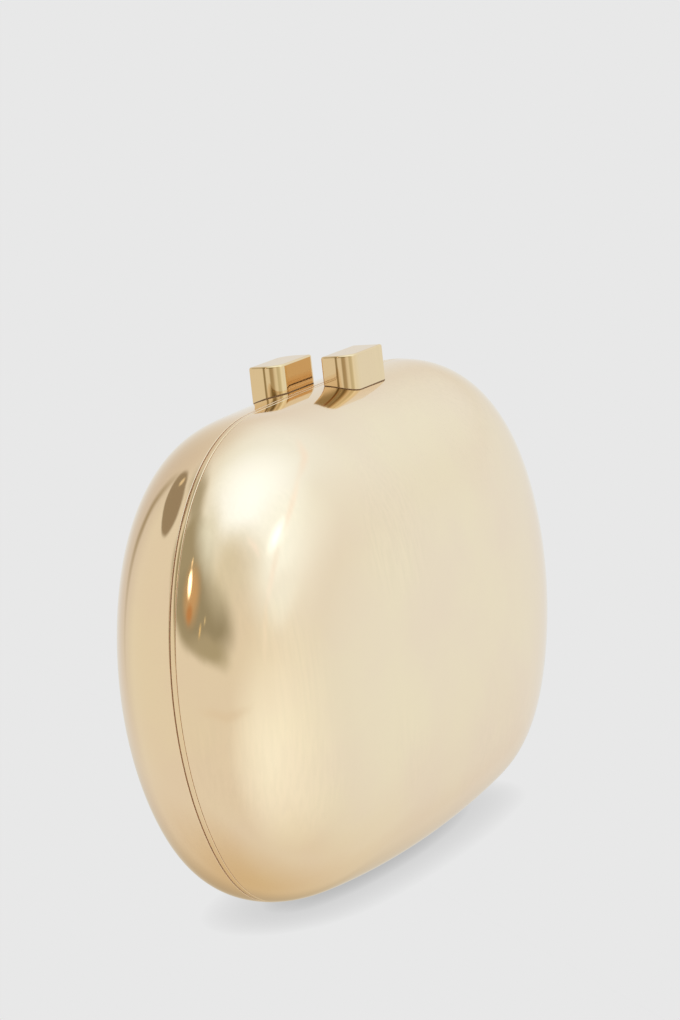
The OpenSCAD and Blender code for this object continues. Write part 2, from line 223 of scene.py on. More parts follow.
# Each panel's place and turn in degrees, half width, half height, softness and colour
for hung in (
    # White walls to the right, the tent and the window over it, and its glow down the tent's front
    (45, -8, 28, 1.65, 1.0, 1, (0.89, 1.02, 1.16)),
    (40, 60, -10, 1.85, 1.5, 1, (1.0, 1.24, 1.5)),
    (2, 61, 0, 0.8, 1.0, 1, (1.2, 1.52, 2.0)),
    (4, 25, -14, 0.7, 0.6, 1, (1.1, 1.37, 1.65)),
    (3, 9, 0, 0.25, 0.16, 1, (1.0, 1.2, 1.4)),
    # Paper in front, bright under the window, and warm and darker close to the clutch
    (-12, -28, 43, 0.95, 0.8, 1, (1.04, 1.18, 1.27)),
    (135, -60, 26, 1.05, 1.65, 1, (0.7, 0.61, 0.45)),
    (128, -34, -27, 0.6, 0.53, 1, (0.53, 0.45, 0.32)),
    # Greyer wall behind
    (146, 19, 12, 0.65, 1.35, 1, (0.69, 0.67, 0.67)),
    # The dark corner, with the tent's edge over it
    (-147, 69, -12, 0.8, 0.2, 0.8, (0.45, 0.46, 0.41)),
    (-94, 40, -55, 0.74, 0.54, 0.3, (0.39, 0.385, 0.31)),
    (-72, 26, -19, 0.95, 0.36, 0.5, (0.34, 0.34, 0.275)),
    (-66, 9, -14, 0.6, 0.15, 0.7, (0.44, 0.44, 0.36)),
    (-36, 36, -25, 0.75, 0.5, 1, (0.77, 0.83, 0.81)),
    (-73, 60, -62, 0.62, 0.33, 1, (0.86, 1.0, 1.1)),
    # The lamp, its glow on the wall and two small bright things beside it
    (-90, 33, 10, 0.26, 0.3, 0.8, (0.62, 0.44, 0.26)),
    (-91, 25, 10, 0.1, 0.1, 0.8, (0.55, 0.3, 0.14)),
    (-95, 37, 95, 0.13, 0.055, 0.6, (3.2, 2.8, 2.3)),
    (-96, 46, 95, 0.07, 0.02, 1, (1.6, 1.3, 0.9)),
    (-76, 18, 60, 0.08, 0.03, 1, (1.0, 0.8, 0.45)),
    (-69, 21, 60, 0.05, 0.02, 1, (0.9, 0.8, 0.55)),
    # Folds of the tent's cloth, and the gleam between them
    (6, 30, 25, 0.2, 0.1, 1, (1.5, 1.9, 2.4)),
    (56, 43, 6, 0.42, 0.05, 1, (1.03, 1.13, 1.3)),
    (20, 34, 27, 0.36, 0.05, 1, (1.1, 1.22, 1.42)),
    (-2, 18, 52, 0.28, 0.05, 1, (1.07, 1.2, 1.38)),
    (-11, 4, 68, 0.2, 0.05, 1, (0.95, 1.01, 1.06)),
    (-12, 35, 110, 0.2, 0.04, 1, (1.08, 1.18, 1.35)),
    # The paper's far edge
    (-55, -15, 0, 0.7, 0.06, 1, (0.8, 0.8, 0.78)),
    # A dark doorway behind, a gleam in it, and its jamb
    (176, 47.5, 8, 0.35, 0.185, 0.2, (0.34, 0.3, 0.24)),
    (161, 49, 20, 0.05, 0.05, 0.6, (0.8, 0.72, 0.55)),
    (155, 18, 91, 0.6, 0.1, 1, (0.42, 0.38, 0.3)),
):
    studio = panel(studio, *hung)

plain, seen, mirrored = (
    sky.add("ShaderNodeBackground", {"Color": colour})["Background"]
    for colour in ((1, 1, 1), pale_ground, studio)
)
ray = sky.add("ShaderNodeLightPath")
in_metal = sky.either(ray["Is Glossy Ray"], plain, mirrored)
clear_view = sky.maths("MAXIMUM", ray["Is Camera Ray"], ray["Is Transmission Ray"])
sky.add("ShaderNodeOutputWorld", {"Surface": sky.either(clear_view, in_metal, seen)})


# Case. Two deep bowls pressed from 1 mm brass and gold plated. One rule gives both: the outline
# shrinks towards the crown as the depth grows, full at first and then quickly.
case_w, case_h, half_depth = 0.188, 0.12, 0.035
mid_z = 0.0595
shell_t = 0.001
seam_y = 0.00015
bead_w = 0.0012
bead_groove = 0.0001
frame_y = seam_y + 0.0032
top_r, bottom_r, end_r, end_rise = 1.75, 0.443, 0.0675, 0.0005
top_blend_deg, bottom_blend_deg = 25.8, 37.3
plan_power, wall_power, ring_power = 2.65, 2.1, 1.3
columns, rings = 360, 96
end_points, arc_points, ease_rounds = 300, 500, 18
back_rim_edge, front_rim_edge = 0.00012, 0.00045


def arc(centre, radius, start, end, count):
    """Points of an arc, from one angle to just before another, in degrees."""
    turns = [math.radians(start + (end - start) * i / count) for i in range(count)]
    return [Vector((centre[0] + radius * math.cos(t), centre[1] + radius * math.sin(t))) for t in turns]


def quarter(long_r, blend_deg, rise):
    """The outline from the middle of an end up to the middle of a long edge, in three arcs."""
    long_c = Vector((0, case_h / 2 - long_r))
    end_c = Vector((case_w / 2 - end_r, rise))
    aside = Vector((math.cos(math.radians(blend_deg)), math.sin(math.radians(blend_deg))))
    away = end_c - long_c
    drop = (away.length_squared - (long_r - end_r) ** 2) / (2 * (long_r - end_r - away.dot(aside)))
    corner_c = end_c + drop * aside
    last = math.degrees(math.atan2(corner_c.y - long_c.y, corner_c.x - long_c.x))
    return (
        arc(end_c, end_r, 0, blend_deg, end_points)
        + arc(corner_c, end_r - drop, blend_deg, last, arc_points)
        + arc(long_c, long_r, last, 90, arc_points)
        + [Vector((0, case_h / 2))]
    )


upper = quarter(top_r, top_blend_deg, end_rise)
lower = quarter(bottom_r, bottom_blend_deg, -end_rise)
loop = (
    upper[:-1]
    + [Vector((-p.x, p.y)) for p in reversed(upper[1:])]
    + [-p for p in lower[:-1]]
    + [Vector((p.x, -p.y)) for p in reversed(lower[1:])]
)
# Even steps round the loop, then eased where the arcs meet, as sheet metal is
reach = [0.0]
for a, b in zip(loop, loop[1:] + loop[:1]):
    reach.append(reach[-1] + (b - a).length)
outline = []
at = 0
for i in range(columns):
    want = reach[-1] * i / columns
    while reach[at + 1] < want:
        at += 1
    share = (want - reach[at]) / (reach[at + 1] - reach[at])
    outline.append(loop[at].lerp(loop[(at + 1) % len(loop)], share))
for _ in range(ease_rounds):
    outline = [(outline[i - 1] + 2 * p + outline[(i + 1) % columns]) / 4 for i, p in enumerate(outline)]

outline_mesh = bpy.data.meshes.new("case_outline")
outline_mesh.from_pydata(
    [(p.x, p.y, 0) for p in outline], [(i, (i + 1) % columns) for i in range(columns)], []
)


class ShapeNodes(Wiring):
    """A geometry node tree with named inputs, which puts out one piece."""

    def __init__(self, name, inputs):
        tree = bpy.data.node_groups.new(name, "GeometryNodeTree")
        super().__init__(tree, inputs, [("Piece", "Geometry")])

    def finish(self, piece):
        """Lets nothing reach under the floor, then dresses the piece."""
        place = self.add("GeometryNodeInputPosition")["Position"]
        split = self.add("ShaderNodeSeparateXYZ", {"Vector": place})
        join = self.add(
            "ShaderNodeCombineXYZ",
            {"X": split["X"], "Y": split["Y"], "Z": self.maths("MAXIMUM", split["Z"], 0.0)},
        )
        piece = self.add("GeometryNodeSetPosition", {"Geometry": piece, "Position": join["Vector"]})
        piece = self.add("GeometryNodeRealizeInstances", {"Geometry": piece["Geometry"]})
        piece = self.add(
            "GeometryNodeSetMaterial", {"Geometry": piece["Geometry"], "Material": self.given["Material"]}
        )
        self.feed(self.result["Piece"], piece["Geometry"])
        return self.tree


def bowl_tree():
    """Nodes that raise a bowl over the outline that the modifier is given."""
    made = ShapeNodes(
        "pressed_bowl",
        [
            ("Outline", "Geometry", None),
            ("Half depth", "Float", half_depth),
            ("Rim", "Float", seam_y),
            ("Middle height", "Float", mid_z),
            ("Plan power", "Float", plan_power),
            ("Wall power", "Float", wall_power),
            ("Ring power", "Float", ring_power),
            ("Side", "Float", 1.0),
            ("Columns", "Int", columns),
            ("Rings", "Int", rings),
            ("Material", "Material", None),
        ],
    )
    given, maths = made.given, made.maths
    grid = made.add(
        "GeometryNodeMeshGrid",
        {
            "Size X": 1.0,
            "Size Y": 1.0,
            "Vertices X": maths("ADD", given["Columns"], 1.0),
            "Vertices Y": maths("ADD", given["Rings"], 1.0),
        },
    )
    split = made.add(
        "ShaderNodeSeparateXYZ", {"Vector": made.add("GeometryNodeInputPosition")["Position"]}
    )
    curve = made.add("GeometryNodeMeshToCurve", {"Mesh": given["Outline"]})
    sample = made.add(
        "GeometryNodeSampleCurve",
        {"Curves": curve["Curve"], "Factor": maths("ADD", split["X"], 0.5)},
        mode="FACTOR",
    )
    plan = made.add("ShaderNodeSeparateXYZ", {"Vector": sample["Position"]})
    rim_share = maths("DIVIDE", given["Rim"], given["Half depth"])
    first = maths("ARCSINE", maths("POWER", rim_share, maths("MULTIPLY", given["Wall power"], 0.5)))
    climb = maths("POWER", maths("ADD", split["Y"], 0.5), given["Ring power"])
    angle = maths("MULTIPLY_ADD", maths("SUBTRACT", math.pi / 2, first), climb, first)
    level = maths("MAXIMUM", maths("COSINE", angle), 0.0)
    share = maths("POWER", level, maths("DIVIDE", 2.0, given["Plan power"]))
    depth = maths("POWER", maths("SINE", angle), maths("DIVIDE", 2.0, given["Wall power"]))
    join = made.add(
        "ShaderNodeCombineXYZ",
        {
            "X": maths("MULTIPLY", plan["X"], share),
            "Y": maths("MULTIPLY", maths("MULTIPLY", given["Half depth"], depth), given["Side"]),
            "Z": maths("MULTIPLY_ADD", plan["Y"], share, given["Middle height"]),
        },
    )
    bent = made.add("GeometryNodeSetPosition", {"Geometry": grid["Mesh"], "Position": join["Vector"]})
    close = made.add("GeometryNodeMergeByDistance", {"Geometry": bent["Geometry"], "Distance": 1e-6})
    back = made.add("FunctionNodeCompare", {"A": given["Side"]}, operation="GREATER_THAN")
    turned = made.add("GeometryNodeFlipFaces", {"Mesh": close["Geometry"], "Selection": back["Result"]})
    return made.finish(turned["Mesh"])


pressed_bowl = bowl_tree()


def give(modifier, **values):
    """Sets a node modifier's inputs by the names that its tree gives them."""
    for item in modifier.node_group.interface.items_tree:
        name = item.name.replace(" ", "_")
        if item.item_type == "SOCKET" and item.in_out == "INPUT" and name in values:
            modifier[item.identifier] = values[name]


def finished(piece, sharp_deg=35, clean=True):
    """The piece with its modifiers taken up in a plain mesh, smooth but for its real edges, and
    clean of the slivers that cutting leaves."""
    bpy.context.view_layer.update()
    seen = piece.evaluated_get(bpy.context.evaluated_depsgraph_get())
    mesh = bpy.data.meshes.new_from_object(seen)
    piece.modifiers.clear()
    piece.data = mesh
    if clean:
        shape = bmesh.new()
        shape.from_mesh(mesh)
        bmesh.ops.dissolve_degenerate(shape, dist=1e-7, edges=shape.edges)
        bmesh.ops.recalc_face_normals(shape, faces=shape.faces)
        shape.to_mesh(mesh)
        shape.free()
    mesh.shade_smooth()
    mesh.set_sharp_from_angle(angle=math.radians(sharp_deg))
    return piece


def placed(name, mesh):
    made = bpy.data.objects.new(name, mesh)
    scene.collection.objects.link(made)
    return made


def from_shape(name, shape):
    """An object made of a bmesh, which is freed."""
    mesh = bpy.data.meshes.new(name)
    bmesh.ops.recalc_face_normals(shape, faces=shape.faces)
    shape.to_mesh(mesh)
    shape.free()
    return placed(name, mesh)


def shaped(name, tree, **values):
    """The outline, which the tree's nodes make a piece of."""
    piece = placed(name, outline_mesh.copy())
    shape = piece.modifiers.new("shape", "NODES")
    shape.node_group = tree
    give(shape, **values)
    return piece


def worn_metal_group():
    """Wear that polished metal gets: cloudy patches, fine rubbed lines and a slight unevenness."""
    made = Wiring(
        bpy.data.node_groups.new("worn_metal", "ShaderNodeTree"),
        [
            ("Cloud scale", "Float", 28.0),
            ("Line scale", "Float", 900.0),
            ("Line length", "Float", 30.0),
            ("Line share", "Float", 0.5),
        ],
        [(label, "Float") for label in ("Cloud", "Lines", "Unevenness")],
    )
    given, maths = made.given, made.maths
    place = made.add("ShaderNodeTexCoord")["Object"]
    cloud = made.noise(place, given["Cloud scale"], detail=5)
    made.feed(made.result["Cloud"], made.ranged(cloud, 0.3, 0.7, kind="SMOOTHSTEP"))
    # Rubbed lines run upright, in patches
    scale, length = given["Line scale"], given["Line length"]
    stretch = made.add("ShaderNodeCombineXYZ", {"X": scale, "Y": scale, "Z": length})["Vector"]
    strokes = made.noise(made.vectors("MULTIPLY", place, stretch), scale=1, detail=2)
    lines = made.ranged(strokes, 0.35, 0.65, -1, 1, kind="SMOOTHSTEP")
    where = made.ranged(made.noise(place, scale=22, detail=2), 0.44, 0.62, kind="SMOOTHSTEP")
    amount = maths("MULTIPLY", maths("MULTIPLY", lines, where), given["Line share"])
    made.feed(made.result["Lines"], amount)
    made.feed(made.result["Unevenness"], made.noise(place, scale=45, detail=2))
    return made.tree


worn_metal = worn_metal_group()
line_glint, uneven_by = 0.022, 0.00002
# Painted reflections down a rounded corner, bands of the room it mirrors: how far round, and tone
white = (1, 1, 1)
corner_reflection_tones = (
    (2, white),
    (4, (0.4, 0.34, 0.22)),
    (8, (0.42, 0.36, 0.24)),
    (11, white),
    (21, white),
    (25, (0.52, 0.45, 0.32)),
    (33, (0.58, 0.5, 0.38)),
    (38, (0.92, 0.9, 0.86)),
    (44, (0.95, 0.93, 0.9)),
    (49, (0.66, 0.62, 0.52)),
    (56, (0.72, 0.68, 0.58)),
    (62, white),
)


def toned(colour, *shares):
    return tuple(part * share for part, share in zip(colour, shares))


def polished_gold(name, colour, roughness, corner=None, **wear):
    """Gold plate polished to a mirror, with cloudy wear in its colour and fine rubbed lines, and
    painted reflections, darker bands down one rounded upright corner, if its axis is given."""
    metal = Finish(name)
    wear = {label.replace("_", " "): value for label, value in wear.items()}
    worn = metal.add("ShaderNodeGroup", wear, node_tree=worn_metal)
    tint = metal.mixed(worn["Cloud"], toned(colour, 1.01, 1.02, 0.99), toned(colour, 0.99, 0.97, 0.99))
    brighter = metal.maths("MULTIPLY_ADD", worn["Lines"], line_glint, 1)
    gold = metal.add("ShaderNodeVectorMath", {0: tint, "Scale": brighter}, operation="SCALE")["Vector"]
    if corner:
        place = metal.add("ShaderNodeTexCoord")
        axis = (-corner[0], -corner[1], 0)
        about = metal.add("ShaderNodeMapping", {"Vector": place["Object"], "Location": axis})
        turn = metal.add("ShaderNodeTexGradient", {"Vector": about["Vector"]}, gradient_type="RADIAL")
        reflection_bands = metal.add("ShaderNodeValToRGB", {"Fac": turn["Fac"]})["Color"]
        ramp = reflection_bands.node.color_ramp
        ramp.elements[1].position = 1
        for angle, tone in corner_reflection_tones:
            ramp.elements.new(angle / 360).color = (*tone, 1)
        for end in (ramp.elements[0], ramp.elements[-1]):
            end.color = (*white, 1)
        # The painted reflection bands stay on the upright faces
        facing_up = metal.add("ShaderNodeSeparateXYZ", {"Vector": place["Normal"]})["Z"]
        upright = metal.mixed(metal.ranged(facing_up, 0.2, 0.6), reflection_bands, white)
        gold = metal.vectors("MULTIPLY", gold, upright)
    return metal.dress(
        {
            "Metallic": 1,
            "Base Color": gold,
            "Roughness": metal.ranged(worn["Cloud"], 0, 1, roughness * 0.7, roughness * 1.4),
            "Normal": metal.bumped(worn["Unevenness"], Strength=1, Distance=uneven_by),
        }
    )


shell_gold = polished_gold("shell_gold", (0.9, 0.69, 0.445), 0.06)

# The channel and the shallow V under the hinge line, which both bowls are cut back to
hinge_w, barrel_r, axis_z, barrel_clear = 0.05, 0.0017, 0.00195, 0.00035
relief_deg, relief_over = 53, 0.002


def loft(name, outlines):
    """A closed solid through closed outlines of as many points each."""
    shape = bmesh.new()
    rows = [[shape.verts.new(p) for p in points] for points in outlines]
    shape.faces.new(rows[0])
    shape.faces.new(list(reversed(rows[-1])))
    for low, high in zip(rows, rows[1:]):
        for i in range(len(low)):
            j = (i + 1) % len(low)
            shape.faces.new((low[i], high[i], high[j], low[j]))
    return from_shape(name, shape)


def rod(name, points_of, count=48):
    """A straight rod between two outlines of points, each given as a function of the turn."""
    turns = [2 * math.pi * i / count for i in range(count)]
    return loft(name, [[points_of(end, t) for t in turns] for end in (0, 1)])


def block_between(name, low, high):
    """A plain cutting block between two corners."""
    shape = bmesh.new()
    size = Vector(high) - Vector(low)
    middle = (Vector(high) + Vector(low)) / 2
    bmesh.ops.create_cube(shape, size=1, matrix=Matrix.Translation(middle) @ Matrix.Diagonal((*size, 1)))
    return from_shape(name, shape)


channel_r = barrel_r + barrel_clear
channel_cut = rod(
    "channel_cut",
    lambda end, t: (
        (2 * end - 1) * (hinge_w / 2 + barrel_clear),
        channel_r * math.cos(t),
        axis_z + channel_r * math.sin(t),
    ),
)
fall = axis_z + relief_over
spread = fall * math.tan(math.radians(relief_deg))
relief_corners = ((0, axis_z), (-spread, axis_z - fall), (spread, axis_z - fall))
relief_cut = loft(
    "relief_cut", [[(side * case_w / 2, y, z) for y, z in relief_corners] for side in (-1, 1)]
)

# Where the clasp blocks' screws pass, square to the shell
block_l, block_w, block_seam_gap, block_overlap = 0.019, 0.008, 0.0028, 0.0032
block_rise, block_gap, block_corner_r = 0.0071, 0.0002, 0.0045
screw_inset, screw_hole_r, screw_under, screw_over = 0.0046, 0.00105, 0.003, 0.0045
seam_top_z = mid_z + case_h / 2
block_mid = Vector((block_overlap - block_l / 2, block_seam_gap + block_w / 2))


def top_z(y):
    """Height of the case's top, that far from the seam."""
    return mid_z + case_h / 2 * (1 - (y / half_depth) ** wall_power) ** (1 / plan_power)


a_hair = 1e-4
lean = (top_z(block_mid.y + a_hair) - top_z(block_mid.y - a_hair)) / (2 * a_hair)
screw_out = Vector((0, -lean, 1)).normalized()
screw_side = Vector((0, 1, lean)).normalized()
screw_feet = [
    Vector((block_mid.x + side * (block_l / 2 - screw_inset), block_mid.y, top_z(block_mid.y)))
    for side in (-1, 1)
]


def screw_rods(name, radius, below, above):
    """A rod at each screw of the back block and, turned half a turn, of the front one."""
    made = []
    for turn in (1, -1):
        for k, foot in enumerate(screw_feet):

            def place(end, t, foot=foot, turn=turn):
                p = foot + screw_out * (above if end else -below)
                p = p + radius * (math.cos(t) * Vector((1, 0, 0)) + math.sin(t) * screw_side)
                return (turn * p.x, turn * p.y, p.z)

            made.append(rod("%s_%d_%d" % (name, turn > 0, k), place, count=32))
    return made


screw_cuts = screw_rods("screw_cut", screw_hole_r, screw_under, screw_over)


def trimmed(piece, cuts, operation="DIFFERENCE"):
    """Takes the cutting solids off the piece, or leaves only what lies in them."""
    for cut in cuts:
        trim = piece.modifiers.new(cut.name, "BOOLEAN")
        trim.operation = operation
        trim.solver = "EXACT"
        trim.object = cut


def brushed_brass(name, colour, roughness, metallic=1):
    """Lacquered brass, brushed along the seam, with a little tarnish in patches."""
    metal = Finish(name)
    strokes = metal.noise(metal.place((60, 5000, 60)), scale=1, detail=3)
    patches = metal.noise(metal.place(), scale=90, detail=4)
    return metal.dress(
        {
            "Metallic": metallic,
            "Coat Weight": 0.3,
            "Coat Roughness": 0.15,
            "Base Color": metal.mixed(patches, colour, toned(colour, 0.82, 0.76, 0.7)),
            "Roughness": metal.ranged(strokes, 0, 1, roughness * 0.7, roughness * 1.4),
            "Normal": metal.bumped(strokes, Strength=0.35, Distance=0.00002),
        }
    )


rim_brass = brushed_brass("rim_brass", (0.86, 0.62, 0.4), 0.7, metallic=0.3)
faces_seam = 0.96


def dull_rim(piece):
    """Leaves the faces that look into the seam unpolished."""
    mesh = piece.data
    mesh.materials.append(rim_brass)
    for face in mesh.polygons:
        if abs(face.normal.y) > faces_seam and abs(face.center.y) < frame_y:
            face.material_index = len(mesh.materials) - 1


def bowl(name, rim, rim_edge, side, body, replaced, holes):
    """One half's bowl, its rim eased by that much, cut for the hinge and the block's screws."""
    piece = shaped(name, pressed_bowl, Rim=rim, Side=side, Material=shell_gold)
    wall = piece.modifiers.new("wall", "SOLIDIFY")
    wall.thickness = shell_t
    wall.offset = -1
    wall.use_even_offset = True
    edge = piece.modifiers.new("rim_edge", "BEVEL")
    edge.width = rim_edge
    edge.segments = 5
    edge.limit_method = "ANGLE"
    edge.angle_limit = math.radians(60)
    trimmed(piece, [channel_cut, relief_cut] + holes)
    finished(piece)
    dull_rim(piece)
    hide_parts(replaced)
    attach(piece, body)


bowl("back_bowl", seam_y, back_rim_edge, 1.0, "back_half", "back_shell", screw_cuts[:2])
front_rim = seam_y + bead_w + bead_groove
bowl("front_bowl", front_rim, front_rim_edge, -1.0, "front_half", "front_shell", screw_cuts[2:])


# Edge rings. Cast brass frames soldered inside both rims: the front one shows its gold-plated
# bead between the shells, and carries the lip that slides into the back one.
frame_t, frame_gap = 0.0015, 0.0004
flange_d, flange_gap = 0.001, 0.00005
lip_t, lip_reach, lip_clear = 0.0008, 0.0026, 0.0003
bead_y = seam_y + bead_w
flange_off = shell_t + flange_gap
frame_off = shell_t + frame_gap
back_in_off = frame_off + frame_t
lip_off = back_in_off + lip_clear
lip_in_off = lip_off + lip_t
bead_edge, frame_edge, lip_edge, eased_steps = 0.00018, 0.00012, 0.00025, 4
room_over = 0.002


def ring_tree():
    """Nodes that carry a closed profile round the outline that the modifier is given."""
    made = ShapeNodes(
        "edge_ring",
        [
            ("Outline", "Geometry", None),
            ("Profile", "Object", None),
            ("Middle height", "Float", mid_z),
            ("Material", "Material", None),
        ],
    )
    path = made.add("GeometryNodeMeshToCurve", {"Mesh": made.given["Outline"]})
    path = made.add("GeometryNodeSetCurveNormal", {"Curve": path["Curve"]}, mode="Z_UP")
    shape = made.add("GeometryNodeObjectInfo", {"Object": made.given["Profile"]})
    shape = made.add("GeometryNodeMeshToCurve", {"Mesh": shape["Geometry"]})
    ring = made.add(
        "GeometryNodeCurveToMesh", {"Curve": path["Curve"], "Profile Curve": shape["Curve"]}
    )
    lift = made.add("ShaderNodeCombineXYZ", {"Z": made.given["Middle height"]})
    ring = made.add(
        "GeometryNodeTransform",
        {
            "Geometry": ring["Mesh"],
            "Translation": lift["Vector"],
            "Rotation": Euler((math.pi / 2, 0, 0)),
        },
    )
    return made.finish(ring["Geometry"])


edge_ring = ring_tree()


def profile(name, corners, radius):
    """A closed profile of square corners, each eased: how far inside the outline, and how far
    from the seam towards the back."""
    points = []
    for i, corner in enumerate(corners):
        p = Vector(corner)
        come = (p - Vector(corners[i - 1])).normalized()
        go = (Vector(corners[(i + 1) % len(corners)]) - p).normalized()
        centre = p + radius * (go - come)
        for k in range(eased_steps + 1):
            t = math.pi / (2 * eased_steps) * k
            points.append(centre + radius * (math.sin(t) * come - math.cos(t) * go))
    mesh = bpy.data.meshes.new(name)
    count = len(points)
    mesh.from_pydata([(-p.x, p.y, 0) for p in points], [(i, (i + 1) % count) for i in range(count)], [])
    return placed(name, mesh)


def ring_piece(name, corners, radius, material, cuts, slot, body, replaced):
    """A ring of that profile inside a half's rim, dull towards the seam where it is plated."""
    shape = profile(name + "_profile", corners, radius)
    piece = shaped(name, edge_ring, Profile=shape, Material=material)
    trimmed(piece, cuts)
    finished(piece)
    bpy.data.objects.remove(shape)
    if slot == "gold_plate":
        dull_rim(piece)
    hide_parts(replaced)
    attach(piece, body)


def room(name, clear):
    """Room in a frame or the lip for the hinge's two leaves."""
    wide = hinge_w / 2 + clear
    return block_between(
        name, (-wide, -half_depth, -room_over), (wide, half_depth, axis_z + barrel_r + room_over)
    )


frame_room = room("frame_room", barrel_clear / 2)
lip_room = room("lip_room", barrel_r)
frame_brass = brushed_brass("frame_brass", (0.78, 0.58, 0.3), 0.28)
bead_gold = polished_gold("bead_gold", (0.88, 0.66, 0.4), 0.08)

ring_piece(
    "front_edge_bead",
    [
        (0, -seam_y),
        (lip_off, -seam_y),
        (lip_off, -frame_y),
        (frame_off, -frame_y),
        (frame_off, -bead_y),
        (0, -bead_y),
    ],
    bead_edge,
    bead_gold,
    [frame_room, channel_cut, relief_cut],
    "gold_plate",
    "front_half",
    "front_frame",
)

# The dimple that the ball springs into, and its seat in the lip, which opens downwards
catch_y, ball_r, ball_show = lip_reach / 2, 0.0011, 0.00065
dimple_clear, seat_clear, seat_deep = 0.0003, 0.00005, 0.003
ball_z = seam_top_z - lip_off + ball_show - ball_r


def ball_cut(name, radius):
    shape = bmesh.new()
    bmesh.ops.create_uvsphere(
        shape, u_segments=32, v_segments=16, radius=radius, matrix=Matrix.Translation((0, catch_y, ball_z))
    )
    return from_shape(name, shape)


dimple_cut = ball_cut("dimple_cut", ball_r + dimple_clear)
ball_seat_r = ball_r + seat_clear
seat_cut = ball_cut("seat_cut", ball_seat_r)
sink_cut = rod(
    "sink_cut",
    lambda end, t: (
        ball_seat_r * math.cos(t),
        catch_y + ball_seat_r * math.sin(t),
        ball_z - (0 if end else seat_deep),
    ),
)
ring_piece(
    "back_edge_frame",
    [
        (flange_off, seam_y),
        (flange_off, seam_y + flange_d),
        (frame_off, seam_y + flange_d),
        (frame_off, frame_y),
        (back_in_off, frame_y),
        (back_in_off, seam_y),
    ],
    frame_edge,
    frame_brass,
    [frame_room, channel_cut, relief_cut, dimple_cut],
    "bare_brass",
    "back_half",
    "back_frame",
)
ring_piece(
    "front_edge_lip",
    [(lip_off, -frame_y), (lip_off, lip_reach), (lip_in_off, lip_reach), (lip_in_off, -frame_y)],
    lip_edge,
    frame_brass,
    [lip_room, seat_cut, sink_cut],
    "bare_brass",
    "front_half",
    "front_lip",
)


# Clasp blocks. Solid brass, cast, squared, gold plated and polished, one to each half. Upright
# corners rounded, with painted reflections down them, every edge eased. Screws from inside hold
# each one on a thin dark fibre pad, which fills the gap under it as painted shade.
block_edge, block_top_edge, block_flat = 0.00025, 0.00055, 0.0001
block_top = seam_top_z + block_rise
block_far = block_seam_gap + block_w
seat_fall = seam_top_z - top_z(block_far)
seat_r = (block_far**2 + seat_fall**2) / (2 * seat_fall)
block_under, edge_steps, corner_steps = 0.001, 6, 24
pad_inset, pad_clear, pad_margin = 0.00005, 0.00002, 0.001
seat_cut_block = rod(
    "seat_cut_block",
    lambda end, t: (
        (2 * end - 1) * case_w / 2,
        (seat_r + block_gap) * math.sin(t),
        seam_top_z - seat_r + (seat_r + block_gap) * math.cos(t),
    ),
    count=512,
)


def block_outline(rounded, inset):
    """The back block seen from above, drawn in by that much: its far right corner rounded, and the
    near left one too if wanted, the others eased."""
    left, right = block_mid.x - block_l / 2, block_mid.x + block_l / 2
    points = []
    for x, y, radius, start in (
        (left, block_seam_gap, block_corner_r if rounded else block_edge, 180),
        (right, block_seam_gap, block_edge, 270),
        (right, block_far, block_corner_r, 0),
        (left, block_far, block_edge, 90),
    ):
        eased = max(radius, inset + block_edge / 20)
        aside = eased if x == left else -eased
        centre = Vector((x + aside, y + (eased if y == block_seam_gap else -eased)))
        steps = corner_steps if radius == block_corner_r else edge_steps
        first = Vector((round(math.cos(math.radians(start))), round(math.sin(math.radians(start)))))
        last = Vector((-first.y, first.x))
        # A point well into each straight side keeps the shading of its face flat
        beyond = radius + block_top_edge + 2 * block_flat - eased
        points.append(centre + (eased - inset) * first - beyond * last)
        points += arc(centre, eased - inset, start, start + 90, steps)
        points.append(centre + (eased - inset) * last)
        points.append(centre + (eased - inset) * last - beyond * first)
    return points


def stacked(name, turn, rounded, levels):
    """A solid of the block's outline over itself, each time drawn in that far, at that height."""
    return loft(
        name,
        [[(turn * p.x, turn * p.y, z) for p in block_outline(rounded, inset)] for inset, z in levels],
    )


def clasp_block(name, turn, rounded, body, replaced, holes):
    """A block: its walls, then its eased top edge as smaller and smaller outlines."""
    low_z = top_z(block_far) - block_under
    edge_z = block_top - block_top_edge
    levels = [(0.0, low_z), (0.0, edge_z - block_flat), (0.0, edge_z)]
    for k in range(1, edge_steps + 1):
        t = math.pi / (2 * edge_steps) * k
        levels.append((block_top_edge * (1 - math.cos(t)), block_top - block_top_edge * (1 - math.sin(t))))
    levels.append((block_top_edge + block_flat, block_top))
    piece = stacked(name, turn, rounded, levels)
    # The rounded corner that the left front looks at, on either block, which gets the painted reflections
    near = Vector((block_mid.x - block_l / 2 + block_corner_r, block_seam_gap + block_corner_r))
    far = Vector((block_corner_r - block_mid.x - block_l / 2, block_corner_r - block_far))
    piece.data.materials.append(
        polished_gold(
            name + "_gold",
            (0.83, 0.6, 0.32),
            0.04,
            corner=near if rounded else far,
            Line_scale=2500.0,
            Line_length=60.0,
            Line_share=1.0,
        )
    )
    trimmed(piece, [seat_cut_block] + holes)
    finished(piece, sharp_deg=40)
    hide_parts(replaced)
    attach(piece, body)


def fibre_sheet(name, dark, light):
    """Vulcanised fibre: matt, with fine flecks of a lighter tone."""
    made = Finish(name)
    flecks = made.noise(made.place(), scale=2200, detail=4)
    return made.dress({"Roughness": 0.6, "Base Color": made.mixed(flecks, dark, light)})


# Dark fibre under the blocks, which paints the shade of the hairline gap beneath each
dark_fibre = fibre_sheet("dark_fibre", (0.22, 0.12, 0.05), (0.34, 0.2, 0.09))


